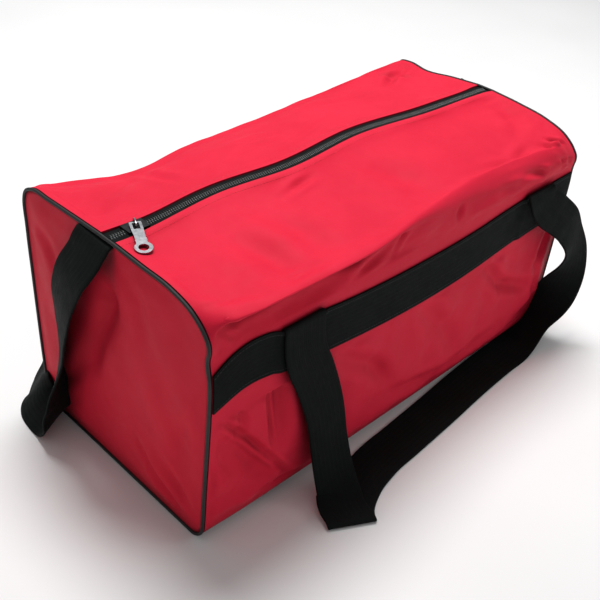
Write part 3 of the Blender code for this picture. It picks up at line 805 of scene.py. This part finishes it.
def make_end(grid, shell_facing, hand, side):
    """An end panel, its piping, and the binding inside."""
    line = grid[0 if side < 0 else -1]
    closing = [line[0] + (line[-1] - line[0]) * t for t in (0.75, 0.5, 0.25)]
    outline = np.concatenate((line, closing))
    rim = inset_outline(outline, PANEL_INSET)
    rim[:, 0] = side * (END_X + 0.0002)
    points = panel_shape(rim, side)
    count, middle = points.shape[1], points.size // 3
    faces = ring_faces(PANEL_RINGS, count)
    faces += [(middle - count + k, middle - count + (k + 1) % count, middle) for k in range(count)]
    panel = new_object(f"end_panel_fabric_{hand}", [*points.reshape(-1, 3), points[-1].mean(0)], faces,
                       "red_end_fabric")
    tidy_mesh(panel.data, lambda vertex: vertex.co.yz, toward=side)
    assign(panel.modifiers.new("thickness", "SOLIDIFY"), thickness=FABRIC, offset=-1.0)
    declare(panel, "red_end_fabric", f"{hand}_end_panel")

    line = inset_outline(outline, PIPING_INSET)
    line[:, 0] = side * (PIPING_X + 0.0004)
    line[:, 2] = np.maximum(line[:, 2], PIPING_RADIUS)
    declare(piping_tube(f"piping_{hand}", line), "black_piping", f"{hand}_end_piping")

    columns = slice(0, 5) if side < 0 else slice(-5, None)
    rows = grid[columns] - shell_facing[columns] * (FABRIC + 0.0005)
    flat = np.stack((rows[..., 0], np.broadcast_to(along(rows[0]), rows.shape[:2])), -1)
    sheet(f"seam_binding_{hand}", (rows, shell_facing[columns], flat), 0.0009, "black_binding",
          f"{hand}_seam_binding")


# ---- webbing

def strap_outline():
    """The strap's cross-section, from the middle: (across, out of the face), with thicker selvedges."""
    half, thin = WEBBING_WIDTH / 2, WEBBING / 2
    upper = [(a, thin) for a in np.linspace(-half + thin, half - thin, 15)]
    upper += [(half - thin + thin * sin(t), thin * cos(t)) for t in (pi / 4, pi / 2, pi / 4 * 3)]
    outline = np.concatenate((upper, np.negative(upper)))
    outline[:, 1] *= 1 + 0.18 * smooth_step(0.8, 0.94, np.abs(outline[:, 0]) / half)
    return outline


OUTLINE = strap_outline()


def strap_frames(route, fine=0.0008, turn=0.1, longest=0.005):
    """Places along a strap and its three directions there, closer together where it bends.

    Each row of the route is a place and the direction across the strap there.
    """
    route = np.array(route, float)
    knots = along(route[:, :3])
    at = np.linspace(0, knots[-1], int(knots[-1] / fine) + 1)
    center = hermite(knots, route[:, :3], at)
    across = hermite(knots, unit(route[:, 3:]), at)
    ahead = unit(np.gradient(center, axis=0))
    across = unit(across - (across * ahead).sum(-1, keepdims=True) * ahead)
    kept = [0]
    for i in range(1, len(at) - 1):
        last = kept[-1]
        bent = (np.arccos(np.clip(ahead[i] @ ahead[last], -1, 1))
                + np.arccos(np.clip(across[i] @ across[last], -1, 1)))
        if bent > turn or at[i] - at[last] > longest:
            kept.append(i)
    kept.append(len(at) - 1)
    return at[kept], center[kept], across[kept], unit(np.cross(ahead[kept], across[kept]))


def strap_points(route):
    """Places along a strap, and its cross-sections there."""
    at, center, across, facing = strap_frames(route)
    return at, center[:, None] + across[:, None] * OUTLINE[:, :1] + facing[:, None] * OUTLINE[:, 1:]


def strap(name, at, points, *nodes, **moves):
    """A closed strap from its cross-sections, with flat coordinates for the weave."""
    points = points.copy()
    points[..., 2] = np.maximum(points[..., 2], FLOOR)
    around, count = len(OUTLINE), points.size // 3
    faces = [tuple(range(around))[::-1], tuple(range(count - around, count))]
    obj = new_object(name, points.reshape(-1, 3), faces + ring_faces(len(points), around), "black_webbing")
    tidy_mesh(obj.data, lambda vertex: (at[vertex.index // around], OUTLINE[vertex.index % around, 0]))
    obj.data.set_sharp_from_angle(angle=radians(55))
    declare(obj, "black_webbing", *nodes, **moves)


BAND_TOP = {
    "front": {-.2733: .213, -.255: .2225, -.238: .2272, -.21: .2262, -.194: .2215, -.169: .22,
              -.144: .2192, -.12: .2162, -.06: .2118, 0: .2105, .09: .2122, .15: .2175,
              .18: .2195, .205: .22, .23: .221, .2733: .222},
    "back": {-.2733: .221, -.169: .2195, -.06: .213, .06: .212, .205: .2195, .2733: .221},
}
BAND_BOTTOM = {
    "front": {-.2733: .172, -.24: .179, -.169: .17, -.06: .161, 0: .159, .1: .161,
              .153: .1655, .205: .17, .2733: .172},
    "back": {-.2733: .171, -.169: .1695, -.06: .163, .06: .162, .205: .1695, .2733: .171},
}
BAND_COLUMNS = 15
BAND_LIFT = 0.0017              # the band's face above the fabric
OVER_HANDLE = 0.0022            # and how much more where it lies over a handle's end


def make_band(side, grid, normals):
    """The band sewn along a side, lying on the fabric and over the ends of the handle."""
    last = grid.shape[1] - 1
    fold, floor = 2 * FOLD_ROW, 2 * HALF_ROWS
    rows = slice(fold, floor) if side == "front" else slice(last - fold, last - floor, -1)
    points, facing = grid[:, rows], normals[:, rows]
    x = grid[:, 0, 0]
    top, bottom = (from_stations(table[side], x) for table in (BAND_TOP, BAND_BOTTOM))
    over = sum(1 - smooth_step(0.025, 0.033, np.abs(x - leg)) for leg in (NEAR_LEG_X, FAR_LEG_X))
    band = np.empty((len(x), BAND_COLUMNS, 3))
    band_normals = np.empty_like(band)
    for i in range(len(x)):
        order = np.argsort(points[i, :, 2])
        heights = np.linspace(top[i], bottom[i], BAND_COLUMNS)
        for into, values in ((band, points), (band_normals, facing)):
            into[i] = read_points(heights, points[i, order, 2], values[i, order])
    band_normals = unit(band_normals)
    share = np.linspace(-1, 1, BAND_COLUMNS)
    selvedge = 0.0003 * smooth_step(0.8, 0.93, np.abs(share))
    band += band_normals * (BAND_LIFT + OVER_HANDLE * over[:, None] + selvedge)[..., None]
    flat = np.stack(np.broadcast_arrays(x[:, None], WEBBING_WIDTH / 2 * share), -1)
    if side == "back":
        band, band_normals, flat = band[:, ::-1], band_normals[:, ::-1], flat[:, ::-1]
    seams = [stitches(band[:, k] + band_normals[:, k] * 0.0001, band_normals[:, k], 0.0034, 0.72, 0.00036,
                      "black_thread") for k in (1, BAND_COLUMNS - 2)]
    sheet(f"band_{side}", (band, band_normals, flat), 0.0016, "black_webbing", f"{side}_band", seams=seams)


def root(leg_x, side, across, leaving=True):
    """The hidden end of a handle under the band, and its fold over the band's top edge."""
    tab_y = HALF_WIDTH + 0.0013
    points = ((tab_y, .174), (tab_y, .195), (tab_y, .215), (tab_y + .0002, .2192), (tab_y + .0013, .2218),
              (HANDLE_Y - .0012, .2222), (HANDLE_Y - .0001, .22), (HANDLE_Y + .0001, .215))
    route = [(leg_x, side * y, z, across, 0, 0) for y, z in points]
    return route if leaving else route[::-1]


ROOT_CUT_Z = 0.197


def split_handle(name, at, points, side, body):
    """A handle as its loop, which swings, and its two ends, which bend over the band's top edge."""
    height = points[..., 2].mean(1)
    half = len(height) // 2
    top = int(np.argmax(height[:half]))
    near = top + int(np.argmax(height[top:] < ROOT_CUT_Z))
    top = len(height) - 1 - int(np.argmax(height[:half:-1]))
    far = top - int(np.argmax(height[top::-1] < ROOT_CUT_Z))
    strap(name, at[near:far + 1], points[near:far + 1], body, ride=body)
    bend = ("bag", body, (0, side * (HALF_WIDTH + 0.002), 0), (0, side * (HANDLE_Y - 0.001), 0))
    for (end, hand, _), rows in zip(ENDS, (slice(0, near + 1), slice(far, None))):
        strap(f"{name}_{end}_end", at[rows], points[rows], body, f"{body}_tab_{hand}", blend=bend)


FOLD_PLACE = np.array((-.15, -.2092))
FOLD_LINE = radians(-28.8)
LEG_HEADING = radians(-105)
ROLL = 0.0024                   # the radius of the fold, to the middle of the webbing


def make_front_handle():
    """Down to the floor, where it folds under itself at a slant, and along and up to its far root.

    The leg comes before the fold and the run after it. At the fold, each point of the cross-section
    goes round the roll by its own distance past the fold line.
    """
    near, far, y = NEAR_LEG_X, FAR_LEG_X, -HANDLE_Y
    over_z = UNDER_Z + 2 * ROLL
    out = np.array((sin(FOLD_LINE), -cos(FOLD_LINE)))
    leg_way = np.array((cos(LEG_HEADING), sin(LEG_HEADING)))
    leg_across = np.array((-leg_way[1], leg_way[0]))
    run_way, run_across = (way - 2 * (way @ out) * out for way in (leg_way, leg_across))

    def on_floor(way, across, distance, z):
        return (*(FOLD_PLACE + way * distance), z, *across, 0)

    leg = root(near, -1, 1) + [
        (near + .0004, y - .0004, .205, 1, 0, 0), (near + .0045, y - .0013, .18, 1, 0, 0),
        (near + .016, y - .004, .15, 1, 0, 0), (near + .03, y - .0095, .1, 1, 0, 0),
        (near + .034, y - .0165, .055, 1, -.03, 0), (near + .035, y - .0245, .026, 1, -.1, 0),
        (near + .0325, y - .0345, .0115, 1, -.2, 0), on_floor(leg_way, leg_across, -.018, over_z + .0005),
        *(on_floor(leg_way, leg_across, distance, over_z) for distance in (-.008, 0, .034))]
    run = [
        *(on_floor(run_way, run_across, distance, UNDER_Z) for distance in (-.034, 0, .02)),
        (-.107, -.179, UNDER_Z, .35, -1, 0),
        *((x, y, UNDER_Z, 0, -1, 0) for x, y in ((-.075, -.1725), (-.03, -.1695), (.04, -.1645),
                                                 (.11, -.1585), (.165, -.1555))),
        (.205, -.1545, UNDER_Z + .0004, 0, -1, 0), (.228, -.153, .007, -.1, -1, .15),
        (.25, -.1535, .024, -.15, -1, .25), (.269, -.158, .048, .25, -1, .15),
        (.28, -.164, .08, .78, -.65, .05), (.28, -.167, .112, 1, -.15, 0),
        (.27, -.1665, .142, .98, .15, 0), (.254, -.1615, .168, 1, .04, .1),
        (.233, -.1545, .187, 1, -.02, .1), (.2145, -.1488, .2015, 1, -.02, .03),
        *root(far, -1, 1, leaving=False)[1:]]
    leg_at, *leg_frames = strap_frames(leg, turn=0.06, longest=0.0022)
    run_at, *run_frames = strap_frames(run, turn=0.06, longest=0.0022)
    fold_at = along(np.array(leg)[:, :3])[-2]
    run_fold_at = along(np.array(run)[:, :3])[1]
    at = np.unique(np.concatenate((leg_at[leg_at < fold_at - 0.036],
                                   np.arange(fold_at - 0.036, fold_at + 0.036, 0.0011),
                                   run_at[run_at > run_fold_at + 0.037] - run_fold_at + fold_at)))
    reach = pi * ROLL / 2
    shift = np.array((*(out * pi * ROLL / 2), 0.0))
    across, thin = OUTLINE[:, :1], OUTLINE[:, 1:]

    def flat_part(frames_at, frames, places, ease):
        center, cross, face = (read_points(places, frames_at, values)[:, None] for values in frames)
        return center + cross * across + face * thin + shift * ease[:, None, None]

    leg_part = flat_part(leg_at, leg_frames, at, 1 - smooth_step(0.02, 0.11, fold_at - at))
    run_part = flat_part(run_at, run_frames, at - fold_at + run_fold_at,
                         1 - smooth_step(0.03, 0.12, at - fold_at))
    past = (at - fold_at)[:, None, None]
    beyond = past * (leg_way @ out) + across * (leg_across @ out)
    foot = FOLD_PLACE + leg_way * past + leg_across * across - out * beyond + out * reach
    foot = np.concatenate((foot, np.full_like(beyond, UNDER_Z + ROLL)), -1)
    angle = beyond / ROLL
    away = np.concatenate((out * np.cos(angle), -np.sin(angle)), -1)
    rolled = foot + away * (ROLL + np.sign(leg_frames[2][-1][2]) * thin)
    points = np.where(np.abs(beyond) < reach, rolled, np.where(beyond < 0, leg_part, run_part))
    split_handle("handle_front", at, points, -1, "front_handle")


def make_back_handle():
    near, far, y = NEAR_LEG_X, FAR_LEG_X, HANDLE_Y
    route = root(near, 1, 1) + [
        (near, y + .0016, .18, 1, 0, 0), (near, y + .003, .15, 1, 0, 0), (near, y + .0065, .09, 1, 0, 0),
        (near + .008, y + .018, .034, 1, -.35, 0), (near + .036, y + .031, .008, .55, -1, .1),
        (-.088, y + .033, UNDER_Z, 0, -1, 0), (-.045, y + .034, .01, 0, -1, 0),
        (-.018, y + .036, .05, 0, -1, .03), (.018, y + .037, .076, 0, -1, .05),
        (.054, y + .036, .05, 0, -1, .03), (.081, y + .034, .01, 0, -1, 0),
        (.124, y + .033, UNDER_Z, 0, -1, 0), (far - .036, y + .031, .008, -.55, -1, .1),
        (far - .008, y + .018, .034, -1, -.35, 0), (far, y + .0065, .09, -1, 0, 0),
        (far, y + .003, .15, -1, 0, 0), (far, y + .0016, .18, -1, 0, 0),
        *root(far, 1, -1, leaving=False)]
    split_handle("handle_back", *strap_points(route), 1, "back_handle")


def make_shoulder_strap():
    end = [
        (.275, .0142, .2735, 0, 1, 0), (.2785, .0143, .273, 0, 1, 0), (.2818, .015, .269, 0, 1, 0),
        (.289, .019, .254, -.05, 1, 0), (.2965, .028, .235, -.12, 1, 0), (.3, .041, .205, -.22, 1, 0),
        (.297, .056, .16, -.42, 1, 0), (.2925, .069, .116, -.62, 1, .05), (.293, .076, .078, -.95, .8, .15),
        (.2955, .076, .047, -1, .4, .35), (.2975, .079, .026, -.9, .1, .5),
        (.2985, .09, .0165, -.82, -.05, .57), (.298, .106, .0145, -.82, 0, .57),
        (.295, .124, .0165, -.72, -.1, .66), (.2835, .14, .0215, -.45, -.3, .84),
        (.264, .157, .019, -.15, -.6, .78), (.236, .174, .0125, .05, -.8, .5),
        (.208, .197, .005, -.3, -.9, .15), (.185, .225, UNDER_Z, -.55, -.83, 0),
        (.15, .252, UNDER_Z, -.3, -.95, 0), (.0875, .264, UNDER_Z, 0, -1, 0)]
    mirrored = [(-x, y, z, -across_x, *across) for x, y, z, across_x, *across in end]
    route = mirrored + [(0, .265, UNDER_Z, 0, -1, 0)] + end[::-1]
    strap("strap", *strap_points(route), "shoulder_strap",
          blend=("bag", "shoulder_strap", (0, 0, STRAP_Z + 0.001), (0, 0, STRAP_Z - 0.022)))
    for _, hand, side in ENDS:
        x = side * (WRAP_X - 0.0075)
        route = [(x, .014, z, 0, 1, 0) for z in (.238, .25, .264)]
        strap(f"strap_tab_{hand}", *strap_points(route), f"{hand}_strap_tab")


# ---- the zip

TAPE_BELOW = 0.0028
ZIP_STOP_X = WRAP_X - 0.0015
COIL_PITCH = ZIP_STOP_X / 105
COIL_RADIUS = 0.00105
COIL_SIDES = 6
TAPE_PLACES = (0.0185, 0.015, 0.012, 0.0098, 0.0075, 0.0055, 0.0038)


def zip_line(x):
    """Place of the zip's centre line at X."""
    edges = [from_stations({k: v[1] for k, v in table.items()}, x) for table in (FRONT_TOP, BACK_TOP)]
    return np.stack((np.atleast_1d(x), from_stations(ZIP_WANDER, x), sum(edges) / 2 - TAPE_BELOW), -1)


def coil(name, x_start, x_stop, side, phase):
    """One row of coil teeth: a rounded loop of nylon for each."""
    loop = ((side * 0.0043, -0.0006, 0.0004), (side * 0.0036, 0.0009, 0.0002), (0.0, 0.0013, 0.0),
            (-side * 0.0009, 0.0002, -0.0002))
    size = len(loop) * COIL_SIDES
    vertices, faces = [], []
    for i in range(round((x_stop - x_start) / COIL_PITCH)):
        x, y, z = zip_line(x_start + (i + phase) * COIL_PITCH)[0]
        base = len(vertices)
        for dy, dz, dx in loop:
            vertices += [(x + dx + COIL_RADIUS * cos(a), y + dy + COIL_RADIUS * 0.25 * sin(a) * side,
                          z + dz + COIL_RADIUS * 0.9 * sin(a))
                         for a in (2 * pi * k / COIL_SIDES for k in range(COIL_SIDES))]
        faces += ring_faces(len(loop), COIL_SIDES, base)
        faces += [tuple(range(base, base + COIL_SIDES))[::-1],
                  tuple(range(base + size - COIL_SIDES, base + size))]
    obj = new_object(name, vertices, faces, "zip_teeth")
    tidy_mesh(obj.data)
    return obj


def make_zip(shell_columns):
    """Both tapes, under the fabric's edges, and both rows of teeth, each in two halves."""
    x_all = np.linspace(-WRAP_X + 0.0004, WRAP_X - 0.0004, 219)
    line = zip_line(x_all)
    across = np.array(TAPE_PLACES)
    closing = 1 - smooth_step(WRAP_X - 0.013, WRAP_X - 0.006, np.abs(x_all))
    for side, sign in SIDES:
        points = np.repeat(line[:, None], len(across), axis=1)
        points[..., 1] += sign * across[None] * np.where(across < 0.006, closing[:, None], 1.0)
        points[..., 2] += 0.0005
        for i, x in enumerate(x_all):
            column = shell_columns[np.argmin(np.abs(shell_columns[:, 0, 0] - x))]
            rows = (column if sign < 0 else column[::-1])[:60]
            above = np.interp(np.abs(points[i, :, 1]), np.abs(rows[:, 1]), rows[:, 2])
            under = np.minimum(points[i, :, 2], above - 0.0033)
            points[i, :, 2] = np.where(across > MOUTH_HALF, under, points[i, :, 2])
        if sign > 0:
            points = points[:, ::-1]
        normals = grid_normals(points)
        for end, hand, toward, columns in halves(len(x_all)):
            sheet(f"zip_tape_{side}_{end}", (points[columns], normals[columns], points[columns, :, :2]),
                  0.0008, "zip_tape", f"{side}_zip_tape", f"{hand}_zip_end_tape",
                  blend=flap_bend(side, toward))
            low, high = sorted((0.0, toward * ZIP_STOP_X))
            teeth = coil(f"zip_coil_{side}_{end}", low, high, sign, 0.25 if sign < 0 else 0.75)
            declare(teeth, "zip_teeth", f"{side}_zip_teeth", f"{hand}_zip_end_teeth",
                    blend=flap_bend(side, toward))


def make_metal():
    """The slider, its bridge and its pull: cast metal, with the slider's and the pull's sharp edges rounded
    over.
    """
    for node, name, body, metal, width in (("zip_slider", "slider_body", "slider", "dark_metal", 0.00045),
                                           ("zip_slider_bridge", "slider_bridge", "slider", "nickel", 0.0),
                                           ("zip_pull", "slider_pull", "pull", "nickel", 0.0005)):
        source = frame["nodes"][node]
        piece = link(name, source.data.copy())
        piece.data.name = name
        piece.matrix_world = source.matrix_world.copy()
        piece.data.materials.clear()
        piece.data.materials.append(MATERIALS[metal])
        if width:
            assign(piece.modifiers.new("rounding", "BEVEL"), width=width, segments=3, limit_method="ANGLE",
                   angle_limit=radians(40))
        piece.data.shade_smooth()
        declare(piece, "nickel", node, ride=body)


# ---- floor, lights, camera

FLOOR_HALF = 6.0
LIGHTS = (                      # name, place, size and power
    ("overhead", (0.35, 0.62, 2.5), 1.1, 63.0),
    ("front_right", (1.6, -1.7, 1.2), 1.0, 5.0),
)
LIT_PLACE = Vector((0, 0, 0.1))
WORLD_STRENGTH = 0.31
CAMERA_PLACE = Vector((-0.6413, -0.5672, 0.7079))
CAMERA_TARGET = Vector((0.0, 0.022, 0.0713))
CAMERA_ROLL = radians(4.98)
CAMERA_LENS = 54.7


def make_stage():
    scene = bpy.context.scene
    tree = Tree("studio_floor")
    tree.feed("Base Color", tree.ramp(tree.noise(3.0, 2.0), (0.3, (0.86,) * 3), (0.7, (0.9,) * 3)))
    tree.set(Roughness=0.85)
    MATERIALS["studio_floor"] = tree.material
    corners = [(x * FLOOR_HALF, y * FLOOR_HALF, 0) for x, y in ((-1, -1), (1, -1), (1, 1), (-1, 1))]
    new_object("studio_floor", corners, [(0, 1, 2, 3)], "studio_floor")

    scene.view_settings.view_transform = "Standard"
    scene.world = bpy.data.worlds.new("studio")
    scene.world.use_nodes = True
    background = scene.world.node_tree.nodes["Background"].inputs
    background["Color"].default_value = (1.0, 1.0, 1.0, 1.0)
    background["Strength"].default_value = WORLD_STRENGTH

    for name, place, size, power in LIGHTS:
        light = bpy.data.lights.new(name, "AREA")
        assign(light, shape="DISK", size=size, energy=power)
        obj = link(name, light)
        obj.location = place
        obj.rotation_euler = (LIT_PLACE - Vector(place)).to_track_quat("-Z", "Y").to_euler()

    data = bpy.data.cameras.new("camera")
    assign(data, lens=CAMERA_LENS, sensor_width=36.0)
    scene.camera = link("camera", data)
    back = (CAMERA_PLACE - CAMERA_TARGET).normalized()
    right = Vector((0, 0, 1)).cross(back).normalized()
    turn = Matrix((right, back.cross(right), back)).transposed().to_4x4()
    scene.camera.matrix_world = (Matrix.Translation(CAMERA_PLACE) @ turn
                                 @ Matrix.Rotation(CAMERA_ROLL, 4, "Z"))


# ---- the bag

make_stage()
shell, shell_normals, shell_flat = make_shell()
make_shell_pieces(shell, shell_normals, shell_flat)
for _, end_hand, end_side in ENDS:
    make_end(shell, shell_normals, end_hand, end_side)
for band_side, _ in SIDES:
    make_band(band_side, shell, shell_normals)
make_front_handle()
make_back_handle()
make_shoulder_strap()
make_zip(shell)
make_metal()
